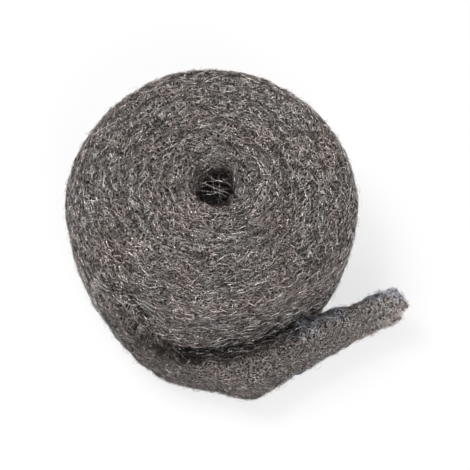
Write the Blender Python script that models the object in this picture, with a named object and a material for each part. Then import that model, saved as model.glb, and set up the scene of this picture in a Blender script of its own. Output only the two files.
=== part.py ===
"""Steel wool roll: one long soft strip, wound into a flat-ended roll with an open core and a loose end.

The strip is lofted once along its whole path. It winds outwards as a spiral, each turn pressed against
the one inside it. It then comes off the roll, sinks and bunches up against the roll's wall, and runs off
as a short loose end. Neighbouring turns share their seam lines, so the roll is one solid that keeps a
groove at every seam. A station is one step of the loft.
Lengths are in metres and +Z is up. The roll stands on its end, with its footprint centred on the origin.
"""

import math

import bmesh
import bpy

# The strip and the winding
STRIP_WIDTH = 0.080
TURN_THICKNESS = 0.0075
CORE_RADIUS = 0.0067
TURNS = 8.79
LEAVING_ANGLE = math.radians(222.0)
INNER_END_PINCH = 0.6
INNER_END_LENGTH = 0.25

# The end faces: grooves between the turns, the soft outer rim and the mouth of the core
TOP_GROOVE_DEPTH = 0.0036
BASE_GROOVE_DEPTH = 0.0012
BASE_LAND_WIDTH = 0.0044
RIM_RADIUS = 0.013
BASE_EDGE_RADIUS = 0.004
MOUTH_RADIUS = 0.003
WALL_BULGE = 0.0012
# Soft waves on the outer wall: how high, how many from top to base, and how they wander round the roll
WALL_WAVE = 0.0008
WALL_WAVES = 2.2
WAVE_WANDER = 0.35
# Turns over which an edge eases from a groove to an open wall, and the rim where the strip comes off
EDGE_EASE_TURNS = 0.06
RIM_EASE_TURNS = 0.12

# How far each turn stands proud of the face, from the core outwards
TURN_LIFTS = (0.0034, 0.0014, 0.0026, 0.0016, 0.0002, 0.0010, 0.0014, 0.0002, 0.0)
# The turns inside this one have slid up through the roll, so they are clear of the table too
RAISED_TURNS = 2
FACE_RIPPLE = 0.0006
RIPPLES_PER_TURN = (3.3, 5.6)
# Out of round: how many lobes, how far each stands out at the outside, and where the first one is
LOBES = (
    (1, 0.0016, math.radians(165.0)),
    (2, 0.0004, math.radians(-67.0)),
    (3, 0.0007, math.radians(-12.0)),
    (4, 0.0008, math.radians(-10.0)),
    (5, 0.0008, math.radians(-31.5)),
)

# The loose end: first it hugs the wall as it bunches up, then it runs off nearly straight
SINK_BEFORE_LEAVING = 0.006
SINK_TURNS = 0.12
HUG_ANGLE = math.radians(78.0)
BUNCHING_ANGLE = math.radians(36.0)
HUG_GAP = 0.0012
LOOSE_HEIGHT = 0.037
LOOSE_THICKNESS = 0.0165
LOOSE_SQUARENESS = 0.66
LOOSE_SWELL = 0.0020
SWELL_SPACING = 0.110
SWELL_START = 0.0725
BUMP_ANGLE = math.radians(60.0)
BUMP_HEIGHT = 0.0060
BUMP_LENGTH = 0.014
RUN_LENGTH = 0.067
RUN_TURN = math.radians(4.0)
TIP_ROUND = 0.005

# How finely the loft follows the strip
STEPS_PER_TURN = 48
LOOSE_STEP = 0.0065
WALL_ROWS = 6
TIP_STEPS = 2

WOOL_COLOUR = (0.133, 0.118, 0.112, 1.0)
WOOL_ROUGHNESS = 0.55
WOOL_METALLIC = 0.6

# Places across one turn, from its inner seam to its outer one, and how deep in the groove each lies
TOP_PLACES = (0.22, 0.50, 0.78)
TOP_SHARES = (0.30, 0.0, 0.30)

LAST_STATION = round(TURNS * STEPS_PER_TURN)
START_ANGLE = LEAVING_ANGLE - LAST_STATION * math.tau / STEPS_PER_TURN


def smooth(share):
    """0 to 1 with a soft start and a soft end."""
    share = min(max(share, 0.0), 1.0)
    return share * share * (3.0 - 2.0 * share)


def blend(first, second, share):
    return first + (second - first) * share


def station_angle(station):
    return START_ANGLE + station * math.tau / STEPS_PER_TURN


def seam_radius(station):
    """Radius of the seam inside the strip at this station. A full turn later it is the seam outside it."""
    angle = station_angle(station)
    radius = CORE_RADIUS + TURN_THICKNESS * station / STEPS_PER_TURN
    outside = CORE_RADIUS + TURN_THICKNESS * (TURNS + 1.0)
    waves = sum(height * math.cos(lobes * (angle - first)) for lobes, height, first in LOBES)
    pinch = 1.0 - smooth(station / (INNER_END_LENGTH * STEPS_PER_TURN))
    radius += INNER_END_PINCH * TURN_THICKNESS * pinch
    return radius + waves * radius / outside


def rim_radius(station):
    """Radius of the roll's outside at this station's angle, eased where the strip has just come off."""
    turns_out = max(0, math.floor((LAST_STATION - station) / STEPS_PER_TURN) + 1)
    outermost = station + turns_out * STEPS_PER_TURN
    eased = 1.0 - smooth((outermost - LAST_STATION) / (RIM_EASE_TURNS * STEPS_PER_TURN))
    return seam_radius(outermost) + TURN_THICKNESS * eased


def rim_drop(station, radius):
    """How far the soft rim has fallen below the face at this radius."""
    along = min(max(radius - rim_radius(station) + RIM_RADIUS, 0.0), RIM_RADIUS)
    return RIM_RADIUS - math.sqrt(RIM_RADIUS**2 - along**2)


def lift(station):
    """How proud of the face the strip stands at this station, eased from turn to turn."""
    turn = min(max(station / STEPS_PER_TURN - 0.5, 0.0), len(TURN_LIFTS) - 1.0)
    lower = min(int(turn), len(TURN_LIFTS) - 2)
    return blend(TURN_LIFTS[lower], TURN_LIFTS[lower + 1], smooth(turn - lower))


def base_lift(station):
    """The raised core's clearance over the table: none from the first turn that rests on it."""
    return lift(station) * (1.0 - smooth(station / STEPS_PER_TURN - RAISED_TURNS + 1.0))


def ripple(station):
    angle = station_angle(station)
    return FACE_RIPPLE * sum(math.sin(ripples * angle) for ripples in RIPPLES_PER_TURN)


def wall_offset(station, share):
    """How far the open wall stands out at this share of its height: inwards in the core."""
    bulge = WALL_BULGE * math.sin(math.pi * share)
    if station < LAST_STATION:
        return -bulge
    angle = station_angle(station)
    wander = WAVE_WANDER * (math.sin(2.0 * angle) + math.sin(3.0 * angle))
    return bulge + WALL_WAVE * math.sin(math.pi * share) * math.sin(math.tau * (WALL_WAVES * share + wander))


def sink(station):
    """How far the strip has sunk before it comes off the roll."""
    return SINK_BEFORE_LEAVING * smooth(1.0 - (LAST_STATION - station) / (SINK_TURNS * STEPS_PER_TURN))


def top_height(station, radius):
    beside = min(station, LAST_STATION)
    return STRIP_WIDTH + lift(beside) + ripple(beside) - rim_drop(station, radius)


def polar(radius, angle, height):
    return (radius * math.cos(angle), radius * math.sin(angle), height)


class Seam:
    """The line between two turns, or the open wall of the core or of the outside, at one station."""

    def __init__(self, bm, station):
        angle = station_angle(station)
        radius = seam_radius(station)
        ease = EDGE_EASE_TURNS * STEPS_PER_TURN
        in_core = smooth((STEPS_PER_TURN - station) / ease)
        outside = smooth((station - LAST_STATION) / ease)
        top = top_height(station, radius) - TOP_GROOVE_DEPTH * (1.0 - outside) - MOUTH_RADIUS * in_core
        top -= sink(station - STEPS_PER_TURN)
        base = base_lift(station) + BASE_GROOVE_DEPTH + BASE_EDGE_RADIUS * max(in_core, outside)
        self.top = bm.verts.new(polar(radius, angle, top))
        self.base = bm.verts.new(polar(radius, angle, base))
        self.rows = []
        if station <= STEPS_PER_TURN or station >= LAST_STATION:
            for row in range(WALL_ROWS):
                share = (row + 1) / (WALL_ROWS + 1)
                place = polar(radius + wall_offset(station, share), angle, blend(top, base, share))
                self.rows.append(bm.verts.new(place))

    def wall(self):
        return [self.top, *self.rows, self.base]


class Turn:
    """The strip's two edges at one station, between the seam inside it and the seam outside it."""

    def __init__(self, bm, station):
        angle = station_angle(station)
        inner = seam_radius(station)
        outer = seam_radius(station + STEPS_PER_TURN)
        land = BASE_LAND_WIDTH / TURN_THICKNESS
        self.top = []
        for place, share in zip(TOP_PLACES, TOP_SHARES):
            radius = blend(inner, outer, place)
            height = top_height(station, radius) - TOP_GROOVE_DEPTH * share - sink(station)
            self.top.append(bm.verts.new(polar(radius, angle, height)))
        self.base = []
        for place in (0.5 - land / 2.0, 0.5 + land / 2.0):
            radius = blend(inner, outer, place)
            self.base.append(bm.verts.new(polar(radius, angle, base_lift(station))))


def outline_of(inner, turn, outer):
    """The strip's closed outline at one station: over the top, down outside, back underneath, up inside."""
    over = [inner.top, *turn.top, outer.top]
    under = [outer.base, *reversed(turn.base), inner.base]
    return [*over, *outer.rows, *under, *reversed(inner.rows)]


def skin(bm, first, second):
    """Quads between two rows of points."""
    for place in range(len(first) - 1):
        bm.faces.new((first[place], first[place + 1], second[place + 1], second[place]))


def wind_roll(bm):
    """The wound turns, with the core's wall, the outer wall and the strip's inner end."""
    seams = [Seam(bm, station) for station in range(LAST_STATION + STEPS_PER_TURN + 1)]
    turns = [Turn(bm, station) for station in range(LAST_STATION + 1)]
    tops = []
    bases = []
    for station, turn in enumerate(turns):
        inner = seams[station]
        outer = seams[station + STEPS_PER_TURN]
        tops.append([inner.top, *turn.top, outer.top])
        bases.append([inner.base, *turn.base, outer.base])
    for station in range(LAST_STATION):
        skin(bm, tops[station], tops[station + 1])
        skin(bm, bases[station + 1], bases[station])
    for station in range(STEPS_PER_TURN):
        skin(bm, seams[station + 1].wall(), seams[station].wall())
    for station in range(LAST_STATION, LAST_STATION + STEPS_PER_TURN):
        skin(bm, seams[station].wall(), seams[station + 1].wall())
    bm.faces.new(outline_of(seams[0], turns[0], seams[STEPS_PER_TURN]))
    return outline_of(seams[LAST_STATION], turns[-1], seams[LAST_STATION + STEPS_PER_TURN])


def bump(travelled):
    """The soft bump on the outside of the loose end, near the middle of its way round the wall."""
    centre = BUMP_ANGLE * seam_radius(LAST_STATION)
    return BUMP_HEIGHT * math.exp(-(((travelled - centre) / BUMP_LENGTH) ** 2))


def thickness_at(travelled, bunched):
    swell = LOOSE_SWELL * math.sin((travelled - SWELL_START) * math.tau / SWELL_SPACING) * bunched
    return blend(TURN_THICKNESS, LOOSE_THICKNESS + swell, bunched)


def loose_path():
    """The loose end's centre line as (x, y, heading, travelled, bunched) at each step."""
    path = []
    wall_start = seam_radius(LAST_STATION)
    steps = math.ceil(wall_start * HUG_ANGLE / LOOSE_STEP)
    for step in range(1, steps + 1):
        turned = HUG_ANGLE * step / steps
        travelled = wall_start * turned
        bunched = smooth(turned / BUNCHING_ANGLE)
        wall = seam_radius(LAST_STATION + turned * STEPS_PER_TURN / math.tau)
        gap = (HUG_GAP + WALL_BULGE) * bunched
        radius = wall + gap + thickness_at(travelled, bunched) / 2.0
        angle = LEAVING_ANGLE + turned
        x, y, _ = polar(radius, angle, 0.0)
        path.append((x, y, angle + math.pi / 2.0, travelled, bunched))
    x, y, heading, hugged, _ = path[-1]
    steps = math.ceil(RUN_LENGTH / LOOSE_STEP)
    stride = (RUN_LENGTH - TIP_ROUND) / steps
    for step in range(1, steps + 1):
        turn = heading - RUN_TURN * smooth(step / steps)
        x += math.cos(turn) * stride
        y += math.sin(turn) * stride
        path.append((x, y, turn, hugged + stride * step, 1.0))
    return path


def bunched_section(thickness, height):
    """Places round the bunched strip as (across, up): a soft-cornered section with a flat underside."""
    over = [math.radians(blend(155.0, 25.0, place / 4.0)) for place in range(5)]
    low = math.radians(-38.0)
    rows = [blend(over[-1], low, (row + 1) / (WALL_ROWS + 1)) for row in range(WALL_ROWS)]
    foot = math.radians(-66.0)
    right = [*rows, low, foot]
    left = [math.pi - angle for angle in reversed(right)]
    section = []
    for angle in (*over, *right, *left):
        across = math.copysign(abs(math.cos(angle)) ** LOOSE_SQUARENESS, math.cos(angle)) * thickness / 2.0
        up = math.copysign(abs(math.sin(angle)) ** LOOSE_SQUARENESS, math.sin(angle)) * height / 2.0
        on_table = abs(math.sin(angle) - math.sin(foot)) < 1e-6
        section.append((across, 0.0 if on_table else up + height / 2.0))
    return section


def place_outline(bm, section, x, y, heading):
    """Stands a section across the path. Its outer side is on the right of the heading."""
    out_x = math.sin(heading)
    out_y = -math.cos(heading)
    return [bm.verts.new((x + out_x * across, y + out_y * across, up)) for across, up in section]


def lay_loose_end(bm, last_outline):
    """The loose end, lofted on from the last outline of the winding and closed with a soft blunt tip."""
    middle = (seam_radius(LAST_STATION) + seam_radius(LAST_STATION + STEPS_PER_TURN)) / 2.0
    wound = [(math.hypot(vertex.co.x, vertex.co.y) - middle, vertex.co.z) for vertex in last_outline]
    previous = last_outline
    for x, y, heading, travelled, bunched in loose_path():
        loose = bunched_section(thickness_at(travelled, bunched), LOOSE_HEIGHT)
        section = []
        for (wound_across, wound_up), (across, up) in zip(wound, loose):
            across += bump(travelled) * smooth(across / LOOSE_THICKNESS + 0.5)
            section.append((blend(wound_across, across, bunched), blend(wound_up, up, bunched)))
        outline = place_outline(bm, section, x, y, heading)
        skin(bm, [*previous, previous[0]], [*outline, outline[0]])
        previous = outline
    for step in range(1, TIP_STEPS + 1):
        share = step / TIP_STEPS
        size = blend(1.0, math.sqrt(1.0 - share**2), 0.22)
        ahead = TIP_ROUND * share
        tip = [(across * size, up * size + LOOSE_HEIGHT * (1.0 - size) / 2.0) for across, up in section]
        outline = place_outline(bm, tip, x + math.cos(heading) * ahead, y + math.sin(heading) * ahead, heading)
        skin(bm, [*previous, previous[0]], [*outline, outline[0]])
        previous = outline
    bm.faces.new(previous)


def wool_material():
    material = bpy.data.materials.new("steel_wool")
    material.use_nodes = True
    shader = material.node_tree.nodes["Principled BSDF"]
    shader.inputs["Base Color"].default_value = WOOL_COLOUR
    shader.inputs["Roughness"].default_value = WOOL_ROUGHNESS
    shader.inputs["Metallic"].default_value = WOOL_METALLIC
    return material


def centre_footprint(bm):
    """Moves the roll so that the middle of its footprint is at the origin and it stands on z = 0."""
    lows = [min(vertex.co[axis] for vertex in bm.verts) for axis in range(3)]
    highs = [max(vertex.co[axis] for vertex in bm.verts) for axis in range(3)]
    shift = (-(lows[0] + highs[0]) / 2.0, -(lows[1] + highs[1]) / 2.0, -lows[2])
    bmesh.ops.translate(bm, verts=bm.verts, vec=shift)


def build():
    for leftover in list(bpy.data.objects):
        bpy.data.objects.remove(leftover)
    bm = bmesh.new()
    last_outline = wind_roll(bm)
    lay_loose_end(bm, last_outline)
    bmesh.ops.recalc_face_normals(bm, faces=bm.faces)
    centre_footprint(bm)
    mesh = bpy.data.meshes.new("steel_wool_roll")
    bm.to_mesh(mesh)
    bm.free()
    mesh.shade_smooth()
    mesh.set_sharp_from_angle(angle=math.radians(60.0))
    mesh.materials.append(wool_material())
    roll = bpy.data.objects.new("steel_wool_roll", mesh)
    bpy.context.scene.collection.objects.link(roll)


build()
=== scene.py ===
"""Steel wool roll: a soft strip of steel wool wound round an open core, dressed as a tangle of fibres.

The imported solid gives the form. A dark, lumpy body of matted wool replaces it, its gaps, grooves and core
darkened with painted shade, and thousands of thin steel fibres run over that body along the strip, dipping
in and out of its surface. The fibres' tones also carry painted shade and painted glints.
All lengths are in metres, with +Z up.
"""

import math
from dataclasses import dataclass

import bmesh
import bpy
import numpy as np
from mathutils import Euler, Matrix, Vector, noise
from mathutils.bvhtree import BVHTree


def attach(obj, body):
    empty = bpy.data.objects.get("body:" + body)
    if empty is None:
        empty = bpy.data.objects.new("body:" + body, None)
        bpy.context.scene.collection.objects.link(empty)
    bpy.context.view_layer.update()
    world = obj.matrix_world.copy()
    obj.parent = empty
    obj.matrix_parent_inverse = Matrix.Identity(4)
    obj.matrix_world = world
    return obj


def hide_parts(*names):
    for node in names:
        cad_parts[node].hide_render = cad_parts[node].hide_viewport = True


bl_info = {
    "name": "Steel Wool Roll",
    "version": (1, 0, 0),
    "blender": (4, 5, 0),
    "location": "3D View > Sidebar > Steel Wool",
    "description": "Makes a wound roll of steel wool from matted wool and single fibres",
    "category": "Object",
}

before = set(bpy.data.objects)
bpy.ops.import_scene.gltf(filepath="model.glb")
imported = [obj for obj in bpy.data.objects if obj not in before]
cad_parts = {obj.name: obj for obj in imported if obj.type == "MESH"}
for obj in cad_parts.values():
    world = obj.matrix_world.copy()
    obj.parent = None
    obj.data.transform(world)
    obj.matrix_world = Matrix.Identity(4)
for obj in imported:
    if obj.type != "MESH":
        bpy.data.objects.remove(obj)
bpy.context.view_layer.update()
ROLL_NODE = "steel_wool_roll"
MAT_PIECE = "wool_mat"
# What the mat's material reads: a map along the strip, how fluffy a place is, and how deep in a groove a
# place is, raised by the painted shade of the core and the fold; that share sets the painted shade of mat
# and fibres
STRIP_MAP = "strip"
GROOVE_AND_SHADE = "groove"
FLUFF_SHARE = "fluff"
# How far a place lies under the places round it at the bottom of a groove
FULL_GROOVE = 0.0009

# Distances out from the roll's wall: where the strip takes the loose end's way, where the looks of the
# loose end start, over which distance they grow, and where its own fibres start
WALL_CLEARANCE = 0.0005
LOOSE_START = 0.001
LOOSE_FADE = 0.004
LOOSE_FIBRES_START = 0.0040
# Distances out from the core's wall: its crest, its shade and its own fibres
CORE_CREST = 0.006
CORE_SHADE_REACH = 0.0055
CORE_FIBRES_REACH = 0.0045
# The loose end along its heading: where it starts, measured from the roll's axis, and how long it is
END_FROM = -0.040
END_SPAN = 0.112
# Shares of that length where the tip starts to swell and to tear, and over which both grow, and the depth
# of the tears
SWELL_FROM, SWELL_OVER = 0.72, 0.2
TORN_FROM, TORN_OVER = 0.86, 0.1
TORN_DEPTH = 0.0013
# Unevenness of the wool, as (height, fineness) of its noises: its lumps, the loose end's edges, the torn
# tip, and its brighter and darker patches
LUMP_NOISES = ((1.0, 60.0), (0.6, 170.0), (0.5, 420.0))
EDGE_NOISES = ((1.0, 95.0), (0.7, 210.0), (0.6, 460.0))
TORN_NOISES = ((1.0, 430.0), (1.0, 640.0))
CLOUD_NOISES = ((1.0, 48.0), (0.6, 120.0))
# Where the strip's torn edge stands off in pale fluff, how far round each place, and how much it swells
FLUFF_PLACES = (
    ((0.0880, -0.0300, 0.0320), 0.0110, 0.0002),
    ((0.0740, -0.0335, 0.0360), 0.0100, 0.0006),
    ((0.0530, -0.0440, 0.0340), 0.0110, 0.0024),
    ((0.0400, -0.0545, 0.0340), 0.0095, 0.0028),
    ((0.0320, -0.0757, 0.0120), 0.0090, 0.0004),
)
# How sharply the fluff and the fold's shade set in from their edges
FLUFF_EDGE = 1.6
FOLD_EDGE = 1.5
# How uneven the loose end's edges are where they leave the roll, as a share that grows by 1 to the tip
EDGE_LEAST = 0.35
# The shaded fold on top of the loose end: angles round the roll, then its distances from the roll's axis,
# its depths of shade and its heights
FOLD_ANGLES = (229.0, 236.0, 246.0, 255.0, 263.0, 275.0, 288.0, 305.0, 318.0)
FOLD_RADII = (0.0820, 0.0843, 0.0856, 0.0846, 0.0836, 0.0830, 0.0812, 0.0800, 0.0798)
FOLD_SHADES = (0.0, 0.8, 1.25, 1.35, 1.35, 1.1, 0.7, 0.4, 0.0)
FOLD_HEIGHTS = (0.062, 0.052, 0.047, 0.044, 0.041, 0.040, 0.040, 0.040, 0.040)
# The height where the fold's shade starts, and over which it grows
FOLD_FOOT = 0.018
FOLD_FADE = 0.008
# The gap under the fold: angles between which it is closed and over which that eases in and out, how far
# out from the wall its middle lies, and its reach
GAP_FROM, GAP_EASE_IN = 226.0, 8.0
GAP_TO, GAP_EASE_OUT = 324.0, 14.0
GAP_MIDDLE = 0.0006
GAP_REACH = 0.0016
# The wall's bulge over the fold: how far under the fold it starts and over which height it grows, and the
# height where it ends and over which it shrinks
BULGE_DROP, BULGE_GROWTH = 0.006, 0.003
BULGE_TOP, BULGE_SHRINKING = 0.080, 0.030
# Where the roll's sides stand proud of a true round: (angle round the roll, how far)
SIDE_RISES = (
    (0, 0.0017),
    (30, 0.0015),
    (60, 0.0004),
    (90, -0.0003),
    (150, 0.0005),
    (185, 0.0006),
    (215, 0.0014),
    (234, 0.0016),
    (245, 0.0002),
    (258, -0.0013),
    (268, -0.0011),
    (282, 0.0014),
    (298, 0.0),
    (320, -0.0010),
    (336, -0.0010),
    (348, 0.0006),
    (360, 0.0017),
)
# How far out from the wall the outermost sides start, where the loose end hugs the roll and elsewhere
HUG_FROM, HUG_TO = 234.0, 324.0
SIDE_START_HUGGED = 0.006
SIDE_START = -0.004
# How far the front of the straight run stands proud
RUN_RISE = 0.0011
# Regions for fibres: how level a top or base is, the greatest height of the base, the place of the seam
# where the strip comes off the roll, and where the tip starts
LEVEL_NORMAL = 0.35
BASE_TOP = 0.012
SEAM_IN_FROM_WALL = 0.002
SEAM_REACH = 0.006
SEAM_ANGLE = 229.0
SEAM_HALF_ANGLE = 16.0
SEAM_FOOT = 0.050
TIP_FROM = 0.078
# Starts the random draws, so that each run lays the same fibres
SEED = 7
# How single fibres differ: the share that lies any way at all, the least and most of their strides, bits,
# widths and arches, how uneven an arch is, and what their ends keep of their width and their height
ANY_WAY_SHARE = 0.10
STRIDE_RANGE = (0.5, 1.5)
BIT_RANGE = (0.8, 1.2)
WIDTH_RANGE = (0.65, 1.35)
ARCH_RANGE = (0.35, 1.65)
ARCH_UNEVENNESS = 0.16
FIBRE_END_WIDTH = 0.25
LEAST_FIBRE_HEIGHT = 0.0003
# Strands across the core: how far round it they reach, in half turns, how deep they hang, how far behind
# its wall and over its dark part they are held, how much they bow, the depth where they are fully shaded,
# and what their ends keep of their width
ACROSS_RANGE = (0.35, 1.0)
ACROSS_DEPTH = 0.0180
ACROSS_HELD_IN = 0.0010
ACROSS_OVER = 0.0020
ACROSS_BOW = 0.0011
ACROSS_SHADE_DEPTH = 0.0140
ACROSS_END_WIDTH = 0.6
# Tones of fibres: a sunken one's share of all steps and the rise that adds them all, a painted shade that
# darkens fibres low in the wool; the steps by which fibres vary, the steps of painted glints from bit to
# bit, and the steps that patches and fluff add
TONE_SUNKEN = 0.31
TONE_RISE = 0.0024
TONE_VARIETY = 2.4
PAINTED_GLINT_VARIETY = 1.3
CLOUD_STEPS = 0.25
FLUFF_STEPS = 1.2
# The painted shade of grooves is broken: how much of it is left on average, how much that varies and how
# finely
SHADE_LEFT, SHADE_VARIETY, SHADE_FINENESS = 0.55, 2.5, 75.0
# Patches of cool tint: how fine they are, where their noise lies, how high it is in them, and how blurred
# their edges are
PATCH_FINENESS = 55.0
PATCH_SHIFT = (7.0, 3.0, 1.0)
PATCH_LEVEL, PATCH_BLUR = 0.05, 0.03
# Fluff's share of fibres with its own tint
FLUFF_TINTED = 1.1

# How rough a dull fibre is, and how much less the brightest
FIBRE_ROUGHNESS, FIBRE_GLOSS = 0.325, 0.06
FIBRE_METALLIC = 0.9
# How rough the mat is between its strands, and how much less on them
MAT_ROUGHNESS, MAT_GLOSS = 0.85, 0.35
MAT_METALLIC = 0.55
# Patches of the mat: how fine they are, and how much they sharpen to warm and cool ones
MAT_PATCH_FINENESS, MAT_PATCH_SHARPNESS = 60.0, 4.0
# The painted shade in its grooves, core and fold: the patch level where it sets in, how sharply, and how
# much it darkens
MAT_SHADE_LEVEL, MAT_SHADE_SHARPNESS, MAT_SHADE = 0.42, 5.0, 0.75
# Strands drawn on the mat: the turn, width and length of their lines, and how bright they are
MAT_STRANDS = (
    (0.15, 0.00040, 0.0018, 1.0),
    (-0.45, 0.00043, 0.0016, 0.9),
    (0.80, 0.00041, 0.0016, 0.9),
    (-1.10, 0.00045, 0.0016, 0.9),
)
# Only the peaks of a noise over this are lines, with edges this sharp
STRAND_PEAK = 0.65
STRAND_SHARPNESS = 18.0

# The camera's sensor in millimetres, and its focal length and the photograph's width in pixels
SENSOR_WIDTH = 36.0
FOCUS_PIXELS = 1067.3
PICTURE_WIDTH = 470.0
# The softboxes: place and size, and the point that they face
KEY_PLACE, KEY_SIZE = (-0.45, 0.25, 1.05), 0.45
FILL_PLACE, FILL_SIZE = (0.35, -0.95, 0.75), 0.6
LAMPS_AIM = (0.0, 0.0, 0.03)
FLOOR_SIZE = 6.0
# How much of the floor shows as plain white, with the rest left for its shadows
FLOOR_GLOW = 0.72
WHITE = (1.0, 1.0, 1.0, 1.0)


class RollSizes(bpy.types.PropertyGroup):
    """Where the turns lie, and how the strip runs off the roll."""

    axis: bpy.props.FloatVectorProperty(
        name="Roll axis",
        description="Place of the turns' common axis on the table",
        size=2,
        default=(-0.010237, 0.007732),
        subtype="XYZ",
        unit="LENGTH",
    )
    core_radius: bpy.props.FloatProperty(
        name="Core radius", description="Mean radius of the open core", default=0.0105, unit="LENGTH"
    )
    wall_radius: bpy.props.FloatProperty(
        name="Wall radius", description="Outside of the wound turns", default=0.0770, unit="LENGTH"
    )
    turn_width: bpy.props.FloatProperty(
        name="Turn width",
        description="From one turn of the strip to the next",
        default=0.0075,
        unit="LENGTH",
    )
    run_start: bpy.props.FloatProperty(
        name="Run start",
        description="Angle round the roll where the loose end lets go of the wall",
        default=math.radians(300.0),
        subtype="ANGLE",
    )
    run_heading: bpy.props.FloatProperty(
        name="Run heading",
        description="Direction in which the loose end runs off",
        default=math.radians(28.0),
        subtype="ANGLE",
    )
    end_width: bpy.props.FloatProperty(
        name="Loose end width",
        description="Of the loose end, seen from above",
        default=0.0165,
        unit="LENGTH",
    )
    core_top: bpy.props.FloatProperty(
        name="Core top",
        description="Height under which the core lies in shade",
        default=0.0810,
        unit="LENGTH",
    )
    core_shade: bpy.props.FloatProperty(
        name="Core shade",
        description="Depth over which the core turns dark",
        default=0.0090,
        unit="LENGTH",
    )
    tip_swell: bpy.props.FloatProperty(
        name="Tip swell", description="How far the frayed tip opens out", default=-0.0004, unit="LENGTH"
    )
    end_lumps: bpy.props.FloatProperty(
        name="End lumps",
        description="Unevenness of the loose end's edges",
        default=0.0016,
        unit="LENGTH",
    )
    mat_inset: bpy.props.FloatProperty(
        name="Mat inset",
        description="Depth of the matted body under the fibres on top",
        default=0.0010,
        unit="LENGTH",
    )
    fold_width: bpy.props.FloatProperty(
        name="Fold width",
        description="Half width of the shaded fold between the loose end and the roll",
        default=0.0050,
        unit="LENGTH",
    )
    fold_fill: bpy.props.FloatProperty(
        name="Fold fill",
        description="Thickness of the loose wool that closes the gap under the fold",
        default=0.0021,
        unit="LENGTH",
    )
    wall_bulge: bpy.props.FloatProperty(
        name="Wall bulge",
        description="How far the roll's wall leans out over the loose end",
        default=0.0038,
        unit="LENGTH",
    )
    lump_height: bpy.props.FloatProperty(
        name="Lump height", description="Unevenness of the matted body", default=0.0007, unit="LENGTH"
    )
    groove_fill: bpy.props.FloatProperty(
        name="Groove fill",
        description="Depth of the loose wool that lies in the gaps between the turns",
        default=0.0016,
        unit="LENGTH",
    )


class FibreSizes(bpy.types.PropertyGroup):
    """Sizes of the single fibres, and how thickly they lie."""

    half_width: bpy.props.FloatProperty(
        name="Half width", description="Mean half width of a fibre", default=0.000100, unit="LENGTH"
    )
    stride: bpy.props.FloatProperty(
        name="Stride",
        description="Mean length of one straight bit of a fibre",
        default=0.0030,
        unit="LENGTH",
    )
    bits: bpy.props.IntProperty(name="Bits", description="Straight bits in one fibre", default=3, min=2)
    stray_angle: bpy.props.FloatProperty(
        name="Stray angle",
        description="How far fibres lie from the strip's own direction",
        default=math.radians(28.0),
        subtype="ANGLE",
    )
    curl: bpy.props.FloatProperty(
        name="Curl",
        description="How much a fibre turns from one bit to the next",
        default=math.radians(10.0),
        subtype="ANGLE",
    )
    buried: bpy.props.FloatProperty(
        name="Buried", description="Depth of a fibre's ends in the wool", default=0.0004, unit="LENGTH"
    )
    arch: bpy.props.FloatProperty(
        name="Arch",
        description="Mean rise of a fibre's middle over its ends",
        default=0.0010,
        unit="LENGTH",
    )
    face_count: bpy.props.IntProperty(
        name="Face fibres", description="Fibres on the top face", default=9600
    )
    wall_count: bpy.props.IntProperty(
        name="Wall fibres", description="Fibres on the outer wall", default=14400
    )
    loose_count: bpy.props.IntProperty(
        name="Loose end fibres", description="Fibres on the loose end", default=8600
    )
    tip_count: bpy.props.IntProperty(
        name="Tip fibres", description="Fibres that stand off the torn tip", default=1200
    )
    core_count: bpy.props.IntProperty(
        name="Core fibres", description="Fibres on the core's wall", default=1500
    )
    across_count: bpy.props.IntProperty(
        name="Strands across core", description="Strands that hang across the core's mouth", default=26
    )
    base_count: bpy.props.IntProperty(
        name="Base fibres", description="Fibres under the roll", default=1600
    )
    fly_count: bpy.props.IntProperty(
        name="Flyaway fibres", description="Fibres that stand off the wool", default=1500
    )
    fuzz_count: bpy.props.IntProperty(
        name="Fuzz fibres", description="Short fine fibres that soften the edges", default=4200
    )
    seam_count: bpy.props.IntProperty(
        name="Seam fibres",
        description="Fibres over the gap where the strip comes off the roll",
        default=300,
    )


class WoolColours(bpy.types.PropertyGroup):
    """Colours of the steel, from the painted shade of the gaps in the wool to its brightest fibres."""

    # Painted shade: the dark colour between the mat's strands and where its grooves, core and fold are
    # shaded
    gap: bpy.props.FloatVectorProperty(
        name="Gap",
        description="Wool deep in the gaps",
        size=3,
        default=(0.018, 0.0125, 0.0105),
        subtype="COLOR",
    )
    mat: bpy.props.FloatVectorProperty(
        name="Mat", description="Matted wool", size=3, default=(0.322, 0.286, 0.270), subtype="COLOR"
    )
    # Dark and light fibres span painted shade to painted glints, besides the steel's own differences
    fibre_dark: bpy.props.FloatVectorProperty(
        name="Dark fibre",
        description="Dullest fibres",
        size=3,
        default=(0.028, 0.0215, 0.0190),
        subtype="COLOR",
    )
    fibre_light: bpy.props.FloatVectorProperty(
        name="Light fibre",
        description="Brightest fibres",
        size=3,
        default=(0.870, 0.800, 0.770),
        subtype="COLOR",
    )
    warm: bpy.props.FloatVectorProperty(
        name="Warm tint",
        description="Tint of the brownish patches",
        size=3,
        default=(1.030, 0.985, 0.965),
    )
    cool: bpy.props.FloatVectorProperty(
        name="Cool tint",
        description="Tint of the greenish patches",
        size=3,
        default=(0.968, 1.014, 1.022),
    )
    fluff: bpy.props.FloatVectorProperty(
        name="Fluff tint",
        description="Tint of the pale fluff at torn edges",
        size=3,
        default=(0.98, 1.12, 1.27),
    )
    tones: bpy.props.IntProperty(
        name="Tones", description="Steps from dark to light fibres", default=6, min=2
    )
    contrast: bpy.props.FloatProperty(
        name="Contrast",
        description="How much rarer bright tones are than dull ones",
        default=2.7,
        min=0.1,
    )
    # Painted shade: fibres darker in grooves, in the core, in the fold and deep in the core's mouth
    painted_shade_steps: bpy.props.FloatProperty(
        name="Groove shade",
        description="Steps by which fibres are darker at the bottom of a groove",
        default=3.5,
    )


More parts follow.
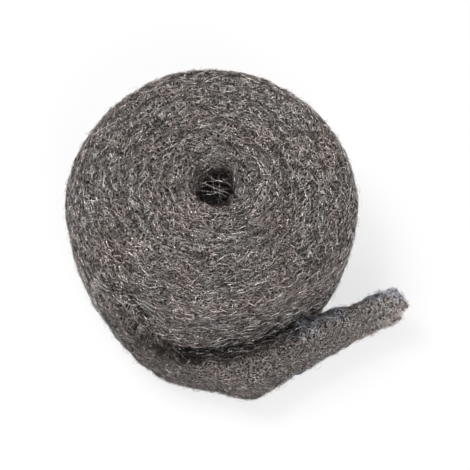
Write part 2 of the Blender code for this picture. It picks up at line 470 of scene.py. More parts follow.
class StudioSizes(bpy.types.PropertyGroup):
    """The camera and the lights."""

    distance: bpy.props.FloatProperty(
        name="Camera distance", description="From the camera to its aim", default=0.60, unit="LENGTH"
    )
    aim: bpy.props.FloatVectorProperty(
        name="Aim",
        description="The point that the camera looks at",
        size=3,
        default=(-0.000456, 0.000515, 0.032),
        subtype="XYZ",
        unit="LENGTH",
    )
    elevation: bpy.props.FloatProperty(
        name="Elevation",
        description="Height of the camera over the horizon",
        default=math.radians(63.42),
        subtype="ANGLE",
    )
    azimuth: bpy.props.FloatProperty(
        name="Azimuth",
        description="Turn of the camera round the roll",
        default=math.radians(1.337),
        subtype="ANGLE",
    )
    tilt: bpy.props.FloatProperty(
        name="Tilt",
        description="Turn of the camera about its own axis",
        default=math.radians(2.278),
        subtype="ANGLE",
    )
    focal_length: bpy.props.FloatProperty(
        name="Focal length",
        description="Of the camera, in millimetres",
        default=SENSOR_WIDTH * FOCUS_PIXELS / PICTURE_WIDTH,
    )
    key_power: bpy.props.FloatProperty(
        name="Key power", description="Main softbox", default=7.8, unit="POWER"
    )
    fill_power: bpy.props.FloatProperty(
        name="Fill power", description="Fill softbox", default=6.0, unit="POWER"
    )
    room_light: bpy.props.FloatProperty(
        name="Room light", description="Strength of the even room light", default=0.48
    )


class Value:
    """A shader socket that takes part in Python sums, each of which adds a Math node."""

    def __init__(self, shader, socket):
        self.shader = shader
        self.socket = socket

    def _sum(self, operation, first, second):
        return self.shader.add("ShaderNodeMath", {"operation": operation}, {0: first, 1: second})

    def __add__(self, other):
        return self._sum("ADD", self, other)

    def __radd__(self, other):
        return self._sum("ADD", other, self)

    def __sub__(self, other):
        return self._sum("SUBTRACT", self, other)

    def __rsub__(self, other):
        return self._sum("SUBTRACT", other, self)

    def __mul__(self, other):
        return self._sum("MULTIPLY", self, other)

    def __rmul__(self, other):
        return self._sum("MULTIPLY", other, self)

    def most(self, other):
        return self._sum("MAXIMUM", self, other)

    def clamped(self):
        return self.shader.add(
            "ShaderNodeMath", {"operation": "MULTIPLY", "use_clamp": True}, {0: self, 1: 1.0}
        )


class Shader:
    """The nodes of a new material or world."""

    def __init__(self, owner, surface="Principled BSDF"):
        owner.use_nodes = True
        self.owner = owner
        self.tree = owner.node_tree
        self.surface = self.tree.nodes[surface]

    def set(self, node, sockets):
        for name, value in sockets.items():
            if isinstance(value, Value):
                self.tree.links.new(value.socket, node.inputs[name])
            else:
                node.inputs[name].default_value = value

    def add(self, kind, settings=None, sockets=None, output=0):
        node = self.tree.nodes.new(kind)
        for name, value in (settings or {}).items():
            setattr(node, name, value)
        self.set(node, sockets or {})
        return Value(self, node.outputs[output])

    def seen(self):
        """1 for what the camera sees, also in gloss and through glass, and 0 for all other light."""
        seen = self.add("ShaderNodeLightPath", output="Is Camera Ray")
        for ray in ("Is Glossy Ray", "Is Transmission Ray"):
            seen = seen.most(self.add("ShaderNodeLightPath", output=ray))
        return seen

    def blend(self, factor, first, second):
        node = self.tree.nodes.new("ShaderNodeMix")
        node.data_type = "RGBA"
        self.set(node, {0: factor, 6: first, 7: second})
        return Value(self, node.outputs[2])


def new_shader(name):
    return Shader(bpy.data.materials.new(name))


def colour(rgb, tint=(1.0, 1.0, 1.0)):
    """A colour for a socket, tinted and no brighter than white."""
    return (*[min(part * shift, 1.0) for part, shift in zip(rgb, tint)], 1.0)


def strand_lines(shader, place, turn, across, along):
    """Short thin light lines like fibres: the peaks of a noise, stretched along a turned direction."""
    turned = shader.add(
        "ShaderNodeMapping",
        {"vector_type": "TEXTURE"},
        {"Vector": place, "Rotation": (0.0, 0.0, turn), "Scale": (along, across, 1.0)},
    )
    grain = shader.add(
        "ShaderNodeTexNoise",
        {"noise_dimensions": "2D"},
        {"Vector": turned, "Scale": 1.0, "Detail": 0.0, "Distortion": 0.3},
    )
    return ((grain - STRAND_PEAK) * STRAND_SHARPNESS).clamped()


def mat_material(colours):
    """Matted wool: fine crossing strands, dark with painted shade between them, in patches of warmer and
    cooler steel.
    """
    shader = new_shader("matted_steel_wool")
    strip = shader.add("ShaderNodeUVMap", {"uv_map": STRIP_MAP})
    place = shader.add("ShaderNodeTexCoord", output="Object")
    drawn = [strand_lines(shader, strip, *sizes) * bright for *sizes, bright in MAT_STRANDS]
    strands = drawn[0]
    for lines in drawn[1:]:
        strands = strands.most(lines)
    patches = shader.add(
        "ShaderNodeTexNoise",
        None,
        {"Vector": place, "Scale": MAT_PATCH_FINENESS, "Detail": 3.0, "Roughness": 0.6},
    )
    tint = shader.blend(
        ((patches - 0.5) * MAT_PATCH_SHARPNESS + 0.5).clamped(),
        colour(colours.mat, colours.warm),
        colour(colours.mat, colours.cool),
    )
    groove = shader.add("ShaderNodeAttribute", {"attribute_name": GROOVE_AND_SHADE}, output="Fac")
    fluff = shader.add("ShaderNodeAttribute", {"attribute_name": FLUFF_SHARE}, output="Fac")
    # Painted shade in the grooves, the core and the fold, in broken stretches
    broken = ((patches - MAT_SHADE_LEVEL) * MAT_SHADE_SHARPNESS).clamped()
    shade = groove * groove * broken * MAT_SHADE
    wool = shader.blend(fluff, tint, colour(colours.mat, colours.fluff))
    # Between strands, and where shaded, the mat shows the painted shade of the gaps
    base = shader.blend(strands * (1.0 - shade), colour(colours.gap), wool)
    bump = shader.add("ShaderNodeBump", None, {"Strength": 0.6, "Distance": 0.0003, "Height": strands})
    shader.set(
        shader.surface,
        {
            "Base Color": base,
            "Metallic": MAT_METALLIC,
            "Roughness": MAT_ROUGHNESS - strands * MAT_GLOSS,
            "Normal": bump,
        },
    )
    return shader.owner


def fibre_materials(colours):
    """Bare steel in several tones, dark to light, in three tints: warm first, then cool, then fluff.
    Besides random difference, the tones are lit and shaded copies of one steel, for painted shade and
    painted glints.
    """
    made = []
    for name, tint in (("warm", colours.warm), ("cool", colours.cool), ("fluff", colours.fluff)):
        for tone in range(colours.tones):
            share = (tone / (colours.tones - 1)) ** colours.contrast
            ends = zip(colours.fibre_dark, colours.fibre_light)
            steel = [dark + (light - dark) * share for dark, light in ends]
            shader = new_shader(f"steel_fibre_{name}_{tone + 1}")
            shader.set(
                shader.surface,
                {
                    "Base Color": colour(steel, tint),
                    "Metallic": FIBRE_METALLIC,
                    "Roughness": FIBRE_ROUGHNESS - FIBRE_GLOSS * share,
                },
            )
            made.append(shader.owner)
    return made


def merged_roll():
    """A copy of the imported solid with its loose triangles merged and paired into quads."""
    bm = bmesh.new()
    bm.from_mesh(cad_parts[ROLL_NODE].data)
    bmesh.ops.remove_doubles(bm, verts=bm.verts, dist=1e-6)
    bmesh.ops.join_triangles(
        bm,
        faces=bm.faces,
        angle_face_threshold=math.radians(40.0),
        angle_shape_threshold=math.radians(60.0),
    )
    bmesh.ops.recalc_face_normals(bm, faces=bm.faces)
    return bm


def piece_from(mesh, name):
    piece = bpy.data.objects.new(name, mesh)
    bpy.context.scene.collection.objects.link(piece)
    return piece


def turned_into_mesh(piece, name):
    """The piece as drawn, with its modifiers or its curve's thickness made real, under the given name."""
    drawn = piece.evaluated_get(bpy.context.evaluated_depsgraph_get())
    mesh = bpy.data.meshes.new_from_object(drawn)
    mesh.name = name
    source = piece.data
    bpy.data.objects.remove(piece)
    (bpy.data.curves if isinstance(source, bpy.types.Curve) else bpy.data.meshes).remove(source)
    return piece_from(mesh, name)


def clamped(share):
    return min(max(share, 0.0), 1.0)


def unevenness(place, noises):
    """Sum of soft noises, each with its height and its fineness."""
    return sum(height * noise.noise(place * fineness) for height, fineness in noises)


def round_roll(roll, place):
    """Distance from the roll's axis and angle round it, in degrees."""
    dx = place.x - roll.axis[0]
    dy = place.y - roll.axis[1]
    return math.hypot(dx, dy), math.degrees(math.atan2(dy, dx)) % 360.0


def on_run(roll, place):
    """Whether a place is on the straight part of the loose end, past the wound part."""
    dx = place.x - roll.axis[0]
    dy = place.y - roll.axis[1]
    start_x = roll.wall_radius * math.cos(roll.run_start)
    start_y = roll.wall_radius * math.sin(roll.run_start)
    along = (dx - start_x) * math.cos(roll.run_heading) + (dy - start_y) * math.sin(roll.run_heading)
    return along > 0.0 and math.hypot(dx, dy) > roll.wall_radius + WALL_CLEARANCE and dy < 0.0


def strip_direction(roll, place):
    """The way the strip runs at a place, level with the table."""
    if on_run(roll, place):
        return Vector((math.cos(roll.run_heading), math.sin(roll.run_heading), 0.0))
    dx = place.x - roll.axis[0]
    dy = place.y - roll.axis[1]
    return Vector((-dy, dx, 0.0)).normalized()


def ridge_under(roll, place):
    """How far from the axis the wool crests where it falls away on both sides, or 0 where it doesn't."""
    out, _ = round_roll(roll, place)
    if out < roll.core_radius + CORE_CREST:
        return roll.core_radius + CORE_CREST
    if out > roll.wall_radius + WALL_CLEARANCE and place.y < 0.0:
        return roll.wall_radius + roll.end_width / 2.0
    return 0.0


def map_strip(mesh, roll):
    """A UV map in metres: along the strip, turn by turn, and across it, over the face and down the wall."""
    layer = mesh.uv_layers.new(name=STRIP_MAP)
    values = np.zeros(len(mesh.loops) * 2)
    for face in mesh.polygons:
        dx = face.center.x - roll.axis[0]
        dy = face.center.y - roll.axis[1]
        middle = math.atan2(dy, dx)
        ring = max(round(math.hypot(dy, dx) / roll.turn_width), 1) * roll.turn_width
        run = on_run(roll, face.center)
        ridge = ridge_under(roll, face.center)
        for loop in face.loop_indices:
            place = mesh.vertices[mesh.loops[loop].vertex_index].co
            dx = place.x - roll.axis[0]
            dy = place.y - roll.axis[1]
            if run:
                along = dx * math.cos(roll.run_heading) + dy * math.sin(roll.run_heading)
                out = dx * math.sin(roll.run_heading) - dy * math.cos(roll.run_heading)
            else:
                angle = math.atan2(dy, dx)
                angle += math.tau * round((middle - angle) / math.tau)
                along = angle * ring
                out = math.hypot(dx, dy)
            across = (abs(out - ridge) if ridge else out) - place.z
            values[2 * loop : 2 * loop + 2] = (along, across)
    layer.uv.foreach_set("vector", values)


def loose_share(roll, place):
    """0 on the roll, 1 on the loose end."""
    out, _ = round_roll(roll, place)
    return clamped((out - roll.wall_radius - LOOSE_START) / LOOSE_FADE) if place.y < 0.0 else 0.0


def run_share(roll, place):
    """0 at the roll, up to 1 at the tip of the loose end."""
    along = (place.x - roll.axis[0]) * math.cos(roll.run_heading)
    along += (place.y - roll.axis[1]) * math.sin(roll.run_heading)
    return clamped((along - END_FROM) / END_SPAN)


def core_share(roll, place):
    """0 outside the core and at its mouth, 1 in its dark part, where shade is painted."""
    out, _ = round_roll(roll, place)
    if out < roll.core_radius + CORE_SHADE_REACH:
        return clamped((roll.core_top - place.z) / roll.core_shade)
    return 0.0


def fluff_at(place):
    """How much a place lies amid pale fluff, 1 in its middle, and how far the wool swells there."""
    shares = []
    swells = []
    for middle, reach, swell in FLUFF_PLACES:
        share = clamped(FLUFF_EDGE - FLUFF_EDGE * (place - Vector(middle)).length / reach)
        shares.append(share)
        swells.append(share * swell)
    return max(shares), max(swells)


def at_angle(angle, values):
    """A value of the fold at an angle round the roll, between those that are listed."""
    return float(np.interp(angle, FOLD_ANGLES, values))


def fold_share(roll, place):
    """How much the fold on top of the loose end shades a place: 0 away from it, over 1 at its darkest."""
    out, angle = round_roll(roll, place)
    if loose_share(roll, place) == 0.0 or not FOLD_ANGLES[0] < angle < FOLD_ANGLES[-1]:
        return 0.0
    off = abs(out - at_angle(angle, FOLD_RADII))
    shade = at_angle(angle, FOLD_SHADES) * clamped((place.z - FOLD_FOOT) / FOLD_FADE)
    return shade * clamped(FOLD_EDGE - FOLD_EDGE * off / roll.fold_width)


def side_rise(roll, place, normal):
    """How far the roll's outermost upright faces stand off a true round."""
    upright = 1.0 - abs(normal.z)
    if on_run(roll, place):
        return RUN_RISE * upright if normal.y < 0.0 else 0.0
    out, angle = round_roll(roll, place)
    start = SIDE_START_HUGGED if HUG_FROM < angle < HUG_TO else SIDE_START
    return float(np.interp(angle, *zip(*SIDE_RISES))) * upright if out > roll.wall_radius + start else 0.0


def fold_rise(roll, place, normal):
    """How far upright faces beside the fold move out, to close the gap under it and to bulge over it."""
    out, angle = round_roll(roll, place)
    near = clamped(2.0 - abs(out - roll.wall_radius - GAP_MIDDLE) / GAP_REACH)
    if near == 0.0 or not GAP_FROM < angle < GAP_TO:
        return 0.0
    ease = clamped((angle - GAP_FROM) / GAP_EASE_IN) * clamped((GAP_TO - angle) / GAP_EASE_OUT)
    near *= ease * clamped(2.0 - 3.0 * abs(normal.z))
    if normal.x * (place.x - roll.axis[0]) + normal.y * (place.y - roll.axis[1]) <= 0.0:
        return near * roll.fold_fill
    over = clamped((place.z - (at_angle(angle, FOLD_HEIGHTS) - BULGE_DROP)) / BULGE_GROWTH)
    bulge = roll.wall_bulge * over * clamped((BULGE_TOP - place.z) / BULGE_SHRINKING)
    return near * (bulge + roll.fold_fill * (1.0 - over))


def shape_mat(mesh, roll):
    """Sinks the matted body under the fibres, lays loose wool in its grooves, makes it lumpy, and adds the
    painted shade of the core and the fold to its groove shares.
    """
    fluff = mesh.attributes.new(FLUFF_SHARE, "FLOAT", "POINT")
    grooves = mesh.attributes[GROOVE_AND_SHADE].data
    moved = []
    for vertex, groove in zip(mesh.vertices, grooves):
        place = vertex.co
        loose = loose_share(roll, place)
        run = run_share(roll, place)
        rise = roll.lump_height * unevenness(place, LUMP_NOISES)
        rise += roll.groove_fill * groove.value
        rise -= roll.mat_inset
        rise += loose * roll.end_lumps * (EDGE_LEAST + run) * unevenness(place, EDGE_NOISES)
        rise += loose * roll.tip_swell * clamped((run - SWELL_FROM) / SWELL_OVER)
        torn = clamped((run - TORN_FROM) / TORN_OVER) * loose
        rise += torn * TORN_DEPTH * unevenness(place, TORN_NOISES)
        bulge = fold_rise(roll, place, vertex.normal)
        rise += fluff_at(place)[1] + bulge + side_rise(roll, place, vertex.normal)
        moved.append(place + vertex.normal * rise)
    for vertex, place, groove, pale in zip(mesh.vertices, moved, grooves, fluff.data):
        vertex.co = (place.x, place.y, max(place.z, 0.0))
        # Painted shade: the core and the fold are darkened like grooves
        groove.value = max(groove.value, core_share(roll, place), fold_share(roll, place))
        pale.value = fluff_at(place)[0]
    mesh.update()


def groove_share(vertex):
    """0 on crests and flats, up to 1 at the bottom of a groove."""
    around = [edge.other_vert(vertex).co for edge in vertex.link_edges]
    middle = sum(around, Vector()) / len(around)
    return clamped((middle - vertex.co).dot(vertex.normal) / FULL_GROOVE)


def make_mat_body(roll, colours):
    """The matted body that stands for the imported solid."""
    bm = merged_roll()
    groove = bm.verts.layers.float.new(GROOVE_AND_SHADE)
    for vertex in bm.verts:
        vertex[groove] = groove_share(vertex)
    mesh = bpy.data.meshes.new(MAT_PIECE + "_rough")
    bm.to_mesh(mesh)
    bm.free()
    rough = piece_from(mesh, MAT_PIECE + "_rough")
    smoother = rough.modifiers.new("smoother", "SUBSURF")
    smoother.levels = smoother.render_levels = 2
    body = turned_into_mesh(rough, MAT_PIECE)
    shape_mat(body.data, roll)
    body.data.shade_smooth()
    map_strip(body.data, roll)
    body.data.materials.clear()
    body.data.materials.append(mat_material(colours))
    return body


@dataclass
class Layer:
    """One piece of like fibres: where they lie, and how they differ from the rest.

    The region "across" is the open mouth of the core. Spread, width and stride are shares of the usual
    ones. Middles are lifted off the mat by up to a distance. Fibres are brighter by some steps, and grow
    brighter by their end steps to the tip of the loose end: painted shade, darker where the loose end
    leaves the roll and lighter towards its tip.
    """

    name: str
    region: str
    count: int
    spread: float = 1.0
    width: float = 1.0
    stride: float = 1.0
    lifted: float = 0.0
    brighter: float = 0.0
    end_shade_step: float = 0.0


class Ground:
    """The matted body's surface, on which fibres are laid."""

    def __init__(self, mesh, roll):
        bm = bmesh.new()
        bm.from_mesh(mesh)
        bmesh.ops.triangulate(bm, faces=bm.faces)
        layer = bm.verts.layers.float[GROOVE_AND_SHADE]
        self.tree = BVHTree.FromBMesh(bm)
        self.corners = np.array([[vertex.co[:] for vertex in face.verts] for face in bm.faces])
        # Groove shares, with the painted shade of the core and the fold, set the fibres' painted shade
        self.grooves = np.array([sum(vertex[layer] for vertex in face.verts) / 3.0 for face in bm.faces])
        normals = np.array([face.normal[:] for face in bm.faces])
        self.areas = np.array([face.calc_area() for face in bm.faces])
        bm.free()
        x, y, z = self.corners.mean(axis=1).T
        out = np.hypot(x - roll.axis[0], y - roll.axis[1])
        angle = np.degrees(np.arctan2(y - roll.axis[1], x - roll.axis[0])) % 360.0
        on_loose = out > roll.wall_radius + LOOSE_FIBRES_START
        up = normals[:, 2] > LEVEL_NORMAL
        down = (normals[:, 2] < -LEVEL_NORMAL) & (z < BASE_TOP)
        in_core = (out < roll.core_radius + CORE_FIBRES_REACH) & ~up & ~down
        by_seam = np.abs(out - roll.wall_radius + SEAM_IN_FROM_WALL) < SEAM_REACH
        by_seam &= (np.abs(angle - SEAM_ANGLE) < SEAM_HALF_ANGLE) & (z > SEAM_FOOT)
        self.regions = {
            "face": up & ~on_loose,
            "wall": ~up & ~down & ~on_loose & ~in_core,
            "loose": on_loose,
            "core": in_core,
            "base": down & ~on_loose,
            "seam": by_seam & up,
            "tip": on_loose & (x > TIP_FROM),
            "all": ~down & ~in_core,
        }

    def places(self, region, count, random):
        """Random places spread evenly over a region."""
        chosen = np.flatnonzero(self.regions[region])
        reached = np.cumsum(self.areas[chosen])
        marks = (np.arange(count) + random.random(count)) / count * reached[-1]
        picked = self.corners[chosen[np.minimum(np.searchsorted(reached, marks), len(chosen) - 1)]]
        first = np.sqrt(random.random(count))[:, None]
        second = random.random(count)[:, None]
        places = picked[:, 0] * (1.0 - first) + picked[:, 1] * first * (1.0 - second)
        return places + picked[:, 2] * first * second

    def walk(self, roll, start, headings, strides):
        """Places, normals and groove shares along a path, with headings from the strip's direction."""
        place, normal, face, _ = self.tree.find_nearest(Vector(start))
        path = [(place, normal, self.grooves[face])]
        for heading, stride in zip(headings, strides):
            along = strip_direction(roll, place)
            along = (along - normal * along.dot(normal)).normalized()
            aside = normal.cross(along)
            step = along * math.cos(heading) + aside * math.sin(heading)
            place, normal, face, _ = self.tree.find_nearest(place + step * stride)
            path.append((place, normal, self.grooves[face]))
        return path


def fibre_outline(half_width):
    """The triangular outline that each fibre is drawn with."""
    outline = bpy.data.curves.new("fibre_outline", "CURVE")
    outline.dimensions = "2D"
    corners = outline.splines.new("POLY")
    corners.points.add(2)
    for corner, point in enumerate(corners.points):
        angle = math.tau * -corner / 3.0
        point.co = (half_width * math.cos(angle), half_width * math.sin(angle), 0.0, 1.0)
    corners.use_cyclic_u = True
    return piece_from(outline, "fibre_outline")


def draw_fibres(name, paths, widths, fibres):
    """One mesh of many fibres, each a closed three-sided wire along its path, with tapering ends."""
    curve = bpy.data.curves.new(name, "CURVE")
    curve.dimensions = "3D"
    outline = fibre_outline(fibres.half_width)
    curve.bevel_mode = "OBJECT"
    curve.bevel_object = outline
    curve.use_fill_caps = True
    for path, width in zip(paths, widths):
        spline = curve.splines.new("POLY")
        spline.points.add(len(path) - 1)
        flat = np.ones((len(path), 4))
        flat[:, :3] = path
        spline.points.foreach_set("co", flat.ravel())
        spline.points.foreach_set("radius", width)
    piece = turned_into_mesh(piece_from(curve, name + "_lines"), name)
    drawn_with = outline.data
    bpy.data.objects.remove(outline)
    bpy.data.curves.remove(drawn_with)
    bm = bmesh.new()
    bm.from_mesh(piece.data)
    bmesh.ops.remove_doubles(bm, verts=bm.verts, dist=1e-7)
    bm.to_mesh(piece.data)
    bm.free()
    piece.data.shade_smooth()
    return piece


def rises(fibres, count, random):
    """How high each point of each fibre lies over the mat: buried ends and an arched, uneven middle."""
    share = np.linspace(0.0, 1.0, fibres.bits + 1)[None, :]
    arch = fibres.arch * random.uniform(*ARCH_RANGE, (count, 1))
    uneven = random.normal(0.0, ARCH_UNEVENNESS, (count, fibres.bits + 1)) * fibres.arch
    return -fibres.buried + arch * np.sin(math.pi * share) ** 0.7 + uneven


def fibre_widths(layer, fibres, end, random):
    """Widths of each fibre of a layer, whose ends have the given share of its width."""
    taper = np.array([end, *[1.0] * (fibres.bits - 1), end])
    return layer.width * random.uniform(*WIDTH_RANGE, (layer.count, 1)) * taper


def lay_fibres(ground, roll, fibres, layer, random):
    """One layer's fibres: paths, widths, and each point's groove share and height over the mat."""
    count = layer.count
    starts = ground.places(layer.region, count, random)
    heading = random.normal(0.0, fibres.stray_angle * layer.spread, count)
    any_way = random.random(count) < ANY_WAY_SHARE
    heading[any_way] = random.uniform(-math.pi / 2.0, math.pi / 2.0, any_way.sum())
    heading[random.random(count) < 0.5] += math.pi
    curl = random.normal(0.0, fibres.curl, (count, 1))
    curl = curl + random.normal(0.0, fibres.curl, (count, fibres.bits))
    headings = heading[:, None] + np.cumsum(curl, axis=1)
    strides = fibres.stride * layer.stride * random.uniform(*STRIDE_RANGE, (count, 1))
    strides = strides * random.uniform(*BIT_RANGE, (count, fibres.bits))
    standing = layer.lifted * np.sin(math.pi * np.linspace(0.0, 1.0, fibres.bits + 1))
    heights = rises(fibres, count, random) + standing * random.random((count, 1))
    widths = fibre_widths(layer, fibres, FIBRE_END_WIDTH, random)
    paths = []
    grooves = []
    for start, turns, steps, rise in zip(starts, headings, strides, heights):
        walked = ground.walk(roll, start, turns, steps)
        path = [place + normal * height for (place, normal, _), height in zip(walked, rise)]
        paths.append([(point.x, point.y, max(point.z, LEAST_FIBRE_HEIGHT)) for point in path])
        grooves.append([groove for _, _, groove in walked])
    return paths, widths, np.array(grooves), heights


def cross_core(ground, roll, fibres, layer, random):
    """Like lay_fibres, for single strands that hang from wall to wall in the mouth of the core."""
    count = layer.count
    share = np.linspace(0.0, 1.0, fibres.bits + 1)[:, None]
    first = random.uniform(0.0, math.tau, count)
    second = first + random.uniform(*ACROSS_RANGE, count) * math.pi
    depth = ACROSS_DEPTH * random.random(count) ** 1.3
    reach = roll.core_radius + ACROSS_HELD_IN
    paths = []
    for start, end, under in zip(first, second, depth):
        held = []
        for angle in (start, end):
            place = (roll.axis[0] + reach * math.cos(angle), roll.axis[1] + reach * math.sin(angle))
            aim = Vector((*place, roll.core_top + ACROSS_OVER - under))
            held.append(np.array(ground.tree.find_nearest(aim)[0]))
        bow = random.normal(0.0, ACROSS_BOW, (fibres.bits + 1, 3)) * np.sin(math.pi * share)
        paths.append(held[0] * (1.0 - share) + held[1] * share + bow)
    widths = fibre_widths(layer, fibres, ACROSS_END_WIDTH, random)
    shaded = np.clip((depth / ACROSS_SHADE_DEPTH)[:, None] * np.ones(fibres.bits + 1), 0.0, 1.0)
    return paths, widths, shaded, np.full(shaded.shape, fibres.arch)


def dress(piece):
    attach(piece, "root")


def tone_fibres(piece, paths, grooves, heights, layer, roll, colours, random):
    """Gives each bit of each fibre its tone, with painted shade and painted glints, and each fibre the tint
    of the patch that it lies in.
    """
    count, points = grooves.shape
    raised = (heights[:, 1:] + heights[:, :-1]) / 2.0
    # Painted shade: the lower a fibre lies in the wool, the darker its tone
    tone = colours.tones * (TONE_SUNKEN + raised / TONE_RISE) + layer.brighter
    tone = tone + random.normal(0.0, TONE_VARIETY, (count, 1))
    # Painted glints: a fibre's tone jumps up and down from bit to bit
    painted_glints = random.normal(0.0, PAINTED_GLINT_VARIETY, (count, points - 1))
    starts = [Vector(path[0]) for path in paths]
    left = [SHADE_LEFT + SHADE_VARIETY * noise.noise(start * SHADE_FINENESS) for start in starts]
    broken = np.clip(left, 0.0, 1.0)[:, None]
    # Painted shade in grooves, the core and the fold
    shaded = colours.painted_shade_steps * broken * ((grooves[:, 1:] + grooves[:, :-1]) / 2.0) ** 2
    # Painted shade on the loose end: darker where it leaves the roll, lighter towards its tip
    shaded += np.array([layer.end_shade_step * (0.5 - run_share(roll, start)) for start in starts])[:, None]
    cloudy = np.array([unevenness(start, CLOUD_NOISES) for start in starts])
    fluffy = np.array([fluff_at(start)[0] for start in starts])
    tones = tone + painted_glints - shaded + CLOUD_STEPS * cloudy[:, None] + FLUFF_STEPS * fluffy[:, None]
    tones = np.clip(np.floor(tones), 0, colours.tones - 1).astype(int)
    # The tints in the order of the materials: warm, cool and fluff
    patch = np.array([noise.noise(start * PATCH_FINENESS + Vector(PATCH_SHIFT)) for start in starts])
    tint = np.where(patch + random.normal(0.0, PATCH_BLUR, count) > PATCH_LEVEL, 1, 0)
    tint = np.where(fluffy * FLUFF_TINTED > random.random(count), 2, tint)
    tones += colours.tones * tint[:, None]
    # A drawn curve's faces are first its end caps, from the last fibre to the first, then all its sides
    ends = np.stack([tones[::-1, -1], tones[::-1, 0]], axis=1).ravel()
    sides = np.repeat(tones.ravel(), 3)
    piece.data.polygons.foreach_set("material_index", np.concatenate([ends, sides]).astype(np.int32))


def layers(fibres):
    """All pieces of fibres, in the order in which they are laid."""
    return (
        Layer("fibres_face_a", "face", fibres.face_count // 2),
        Layer("fibres_face_b", "face", fibres.face_count // 2, spread=1.2),
        Layer("fibres_wall_a", "wall", fibres.wall_count // 2, spread=0.8),
        Layer("fibres_wall_b", "wall", fibres.wall_count // 2),
        Layer(
            "fibres_loose_end",
            "loose",
            fibres.loose_count,
            spread=0.9,
            width=0.62,
            stride=0.5,
            brighter=-0.5,
            end_shade_step=3.4,
        ),
        Layer(
            "fibres_tip",
            "tip",
            fibres.tip_count,
            spread=2.0,
            width=0.75,
            stride=0.55,
            lifted=0.0018,
            brighter=1.6,
            end_shade_step=2.4,
        ),
        Layer(
            "fibres_seam",
            "seam",
            fibres.seam_count,
            spread=1.1,
            stride=0.8,
            lifted=0.0005,
            brighter=-0.4,
        ),
        Layer(
            "fibres_core",
            "core",
            fibres.core_count,
            spread=1.4,
            width=0.75,
            stride=0.8,
            brighter=1.4,
        ),
        Layer("fibres_across_core", "across", fibres.across_count, width=0.6, brighter=0.6),
        Layer("fibres_base", "base", fibres.base_count),
        Layer(
            "fibres_flyaway",
            "all",
            fibres.fly_count,
            spread=1.6,
            width=0.6,
            lifted=0.0028,
            brighter=1.0,
        ),
        Layer(
            "fibres_fuzz",
            "all",
            fibres.fuzz_count,
            spread=2.2,
            width=0.6,
            stride=0.5,
            lifted=0.0014,
            brighter=0.5,
        ),
    )


class STEELWOOL_OT_mat_body(bpy.types.Operator):
    """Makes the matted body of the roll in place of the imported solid"""

    bl_idname = "steelwool.mat_body"
    bl_label = "Matted Body"

    def execute(self, context):
        scene = context.scene
        body = make_mat_body(scene.wool_roll, scene.wool_colours)
        dress(body)
        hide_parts(ROLL_NODE)
        return {"FINISHED"}


class STEELWOOL_OT_fibres(bpy.types.Operator):
    """Lays single steel fibres over the matted body"""

    bl_idname = "steelwool.fibres"
    bl_label = "Fibres"

    def execute(self, context):
        scene = context.scene
        roll = scene.wool_roll
        fibres = scene.wool_fibres
        colours = scene.wool_colours
        ground = Ground(bpy.data.objects[MAT_PIECE].data, roll)
        materials = fibre_materials(colours)
        random = np.random.default_rng(SEED)
        for layer in layers(fibres):
            lay = cross_core if layer.region == "across" else lay_fibres
            paths, widths, grooves, heights = lay(ground, roll, fibres, layer, random)
            piece = draw_fibres(layer.name, paths, widths, fibres)
            piece.data.materials.clear()
            for material in materials:
                piece.data.materials.append(material)
            tone_fibres(piece, paths, grooves, heights, layer, roll, colours, random)
            dress(piece)
        return {"FINISHED"}


class STEELWOOL_OT_studio(bpy.types.Operator):
    """Sets up the pale floor, the soft light and the camera"""

    bl_idname = "steelwool.studio"
    bl_label = "Studio"

    def execute(self, context):
        studio = context.scene.wool_studio
        lay_floor()
        light_room(studio)
        hang_softbox("key_softbox", KEY_PLACE, KEY_SIZE, studio.key_power)
        hang_softbox("fill_softbox", FILL_PLACE, FILL_SIZE, studio.fill_power)
        place_camera(studio)
        return {"FINISHED"}


def lay_floor():
    """A wide pale floor that shows white and keeps a soft shadow."""
    bm = bmesh.new()
    bmesh.ops.create_grid(bm, x_segments=1, y_segments=1, size=FLOOR_SIZE)
    mesh = bpy.data.meshes.new("floor")
    bm.to_mesh(mesh)
    bm.free()
    floor = piece_from(mesh, "floor")
    shader = new_shader("pale_floor")
    shader.set(shader.surface, {"Base Color": (0.93, 0.93, 0.93, 1.0), "Roughness": 0.9})
    paper = Value(shader, shader.surface.outputs[0])
    glow = shader.add("ShaderNodeEmission", None, {"Color": WHITE, "Strength": 1.0})
    shown = shader.add("ShaderNodeMixShader", None, {0: shader.seen() * FLOOR_GLOW, 1: paper, 2: glow})
    shader.set(shader.tree.nodes["Material Output"], {"Surface": shown})
    mesh.materials.append(shader.owner)


def light_room(studio):
    """Even light from all round, which the camera and shiny surfaces see as white."""
    shader = Shader(bpy.data.worlds.new("studio_room"), "Background")
    strength = shader.seen() * (1.0 - studio.room_light) + studio.room_light
    shader.set(shader.surface, {"Color": WHITE, "Strength": strength})
    bpy.context.scene.world = shader.owner


def hang_softbox(name, place, size, power):
    lamp = bpy.data.lights.new(name, "AREA")
    lamp.shape = "SQUARE"
    lamp.size = size
    lamp.energy = power
    softbox = piece_from(lamp, name)
    softbox.location = place
    softbox.rotation_euler = (Vector(LAMPS_AIM) - Vector(place)).to_track_quat("-Z", "Y").to_euler()


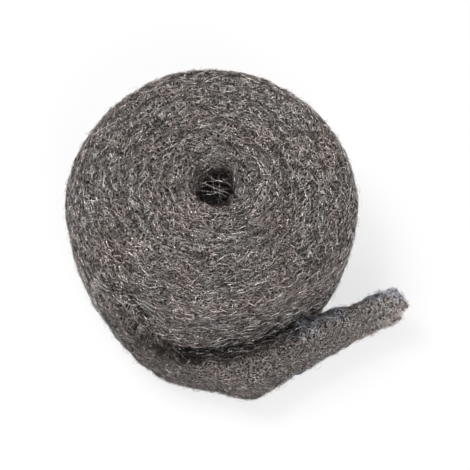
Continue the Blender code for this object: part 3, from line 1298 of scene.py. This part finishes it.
def place_camera(studio):
    """The photograph's view: from above the front, slightly turned."""
    camera = bpy.data.cameras.new("camera")
    camera.sensor_width = SENSOR_WIDTH
    camera.lens = studio.focal_length
    viewer = piece_from(camera, "camera")
    turned = Euler((math.pi / 2.0 - studio.elevation, 0.0, -studio.azimuth), "XYZ").to_matrix()
    rolled = Euler((0.0, 0.0, studio.tilt), "XYZ").to_matrix()
    viewer.matrix_world = (turned @ rolled).to_4x4()
    viewer.location = Vector(studio.aim) + turned @ Vector((0.0, 0.0, studio.distance))
    bpy.context.scene.camera = viewer


class STEELWOOL_PT_panel(bpy.types.Panel):
    """Lists the sizes, the colours and the operators"""

    bl_label = "Steel Wool Roll"
    bl_idname = "STEELWOOL_PT_panel"
    bl_space_type = "VIEW_3D"
    bl_region_type = "UI"
    bl_category = "Steel Wool"

    def draw(self, context):
        scene = context.scene
        for group in (scene.wool_roll, scene.wool_fibres, scene.wool_colours, scene.wool_studio):
            box = self.layout.box()
            for name in group.bl_rna.properties.keys():
                if name not in ("rna_type", "name"):
                    box.prop(group, name)
        for operator in OPERATORS:
            self.layout.operator(operator.bl_idname)


GROUPS = {
    "wool_roll": RollSizes,
    "wool_fibres": FibreSizes,
    "wool_colours": WoolColours,
    "wool_studio": StudioSizes,
}
OPERATORS = (STEELWOOL_OT_studio, STEELWOOL_OT_mat_body, STEELWOOL_OT_fibres)


def register():
    for made in (*GROUPS.values(), *OPERATORS, STEELWOOL_PT_panel):
        bpy.utils.register_class(made)
    for name, group in GROUPS.items():
        setattr(bpy.types.Scene, name, bpy.props.PointerProperty(type=group))


def unregister():
    for name in GROUPS:
        delattr(bpy.types.Scene, name)
    for made in reversed((*GROUPS.values(), *OPERATORS, STEELWOOL_PT_panel)):
        bpy.utils.unregister_class(made)


def main():
    register()
    bpy.context.scene.view_settings.view_transform = "Standard"
    bpy.ops.steelwool.studio()
    bpy.ops.steelwool.mat_body()
    bpy.ops.steelwool.fibres()


if __name__ == "__main__":
    main()
